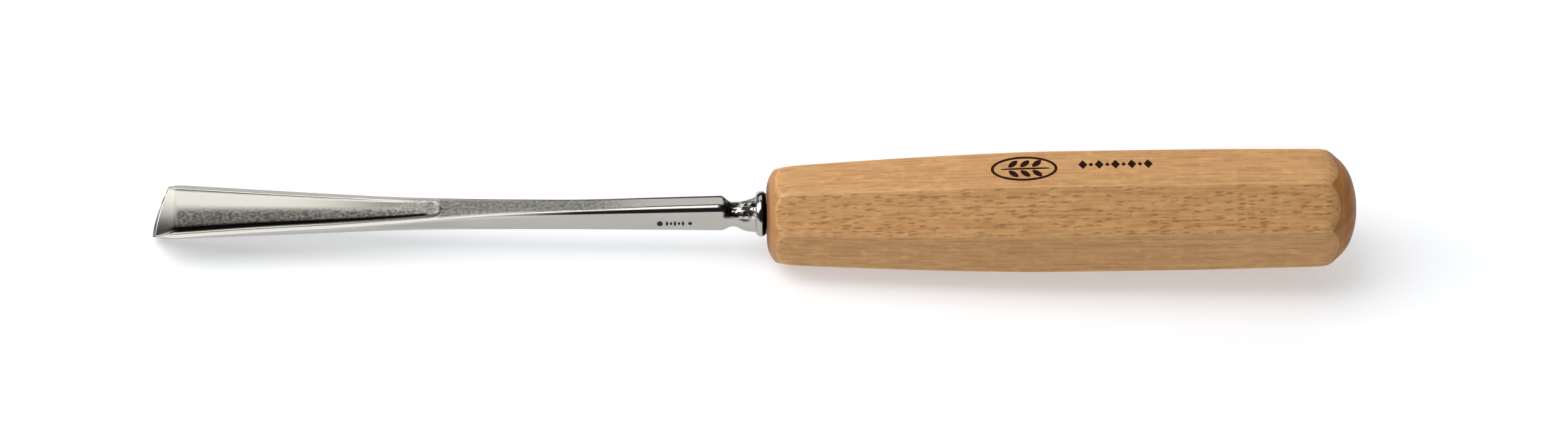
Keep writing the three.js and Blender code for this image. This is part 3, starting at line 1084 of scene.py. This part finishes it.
def make_camera():
    heading = Vector((math.sin(CAMERA_AZIMUTH), math.cos(CAMERA_AZIMUTH), 0))
    rise = Vector((0, 0, 1))
    back = rise * math.sin(CAMERA_ELEVATION) - heading * math.cos(CAMERA_ELEVATION)
    up = rise * math.cos(CAMERA_ELEVATION) + heading * math.sin(CAMERA_ELEVATION)
    aim = place(AIM_S, 0, 0) + up * AIM_UP * MM
    camera = bpy.data.cameras.new("camera")
    camera.sensor_width = SENSOR_WIDTH
    camera.lens = SENSOR_WIDTH * CAMERA_DISTANCE / VIEW_WIDTH
    camera.clip_start = 0.05
    camera.clip_end = 20
    obj = new_object("camera", camera)
    obj.location = aim + back * CAMERA_DISTANCE
    obj.rotation_euler = back.to_track_quat("Z", "Y").to_euler()
    bpy.context.scene.camera = obj


def area_light(name, direction, distance, size, power):
    """A square or oblong light that faces the middle of the tool."""
    light = bpy.data.lights.new(name, "AREA")
    light.shape = "RECTANGLE"
    light.size, light.size_y = size
    light.energy = power
    obj = new_object(name, light)
    toward = Vector(direction).normalized()
    across = Vector((0, 1, 0)).cross(toward).normalized()
    along = toward.cross(across)
    turn = Matrix((across, along, toward)).transposed()
    obj.matrix_world = Matrix.Translation(Vector((0, 0, AXIS_Z)) + toward * distance) @ turn.to_4x4()
    return obj


def make_floor():
    mesh = bpy.data.meshes.new("floor")
    shape = bmesh.new()
    bmesh.ops.create_grid(shape, x_segments=8, y_segments=8, size=FLOOR_HALF)
    shape.to_mesh(mesh)
    shape.free()
    floor = new_object("floor", mesh)
    belly_s, belly_z, tip_s, tip_z = FLOOR_TOUCHES
    floor.location = place(belly_s, 0, belly_z)
    floor.rotation_euler = (0, -math.atan2(belly_z - tip_z, belly_s - tip_s), 0)
    give(floor, floor_material())


def make_lights():
    area_light("overhead", *OVERHEAD).visible_glossy = False
    area_light("mirrored_overhead", *MIRRORED).visible_diffuse = False
    area_light("back", *BACK)


def make_world():
    """White where the camera sees it, nearly black in reflections, and a soft light elsewhere."""
    world = bpy.data.worlds.new("studio")
    world.use_nodes = True
    tree = world.node_tree
    background = tree.nodes["Background"]
    seen = tree.nodes.new("ShaderNodeLightPath")
    shade = tree.nodes.new("ShaderNodeMapRange")
    shade.inputs["To Min"].default_value = AMBIENT
    shade.inputs["To Max"].default_value = REFLECTED_DARK
    tree.links.new(seen.outputs["Is Glossy Ray"], shade.inputs["Value"])
    plain = tree.nodes.new("ShaderNodeMapRange")
    plain.inputs["To Max"].default_value = 1
    tree.links.new(seen.outputs["Is Camera Ray"], plain.inputs["Value"])
    tree.links.new(shade.outputs["Result"], plain.inputs["To Min"])
    tree.links.new(plain.outputs["Result"], background.inputs["Strength"])
    background.inputs["Color"].default_value = (1, 1, 1, 1)
    bpy.context.scene.world = world
    bpy.context.scene.view_settings.view_transform = "Standard"


# ---------------------------------------------------------------- the tool

make_camera()
make_floor()
make_lights()
make_world()

steel = steel_material()
blade = make_blade()
give(blade, steel, slot="blade_steel")
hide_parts("blade")

tang = make_tang()
give(tang, steel, slot="blade_steel")

handle = make_handle()
give(handle, beech_material(), slot="handle_beech")
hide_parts("handle")

give(make_handle_mark(), char_material(), slot="handle_beech")
give(make_shank_mark(), punched_material(), slot="blade_steel")

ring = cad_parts["inner_ferrule"]
ring_steel = ring_material()
for material_slot in ring.material_slots:
    material_slot.material = ring_steel
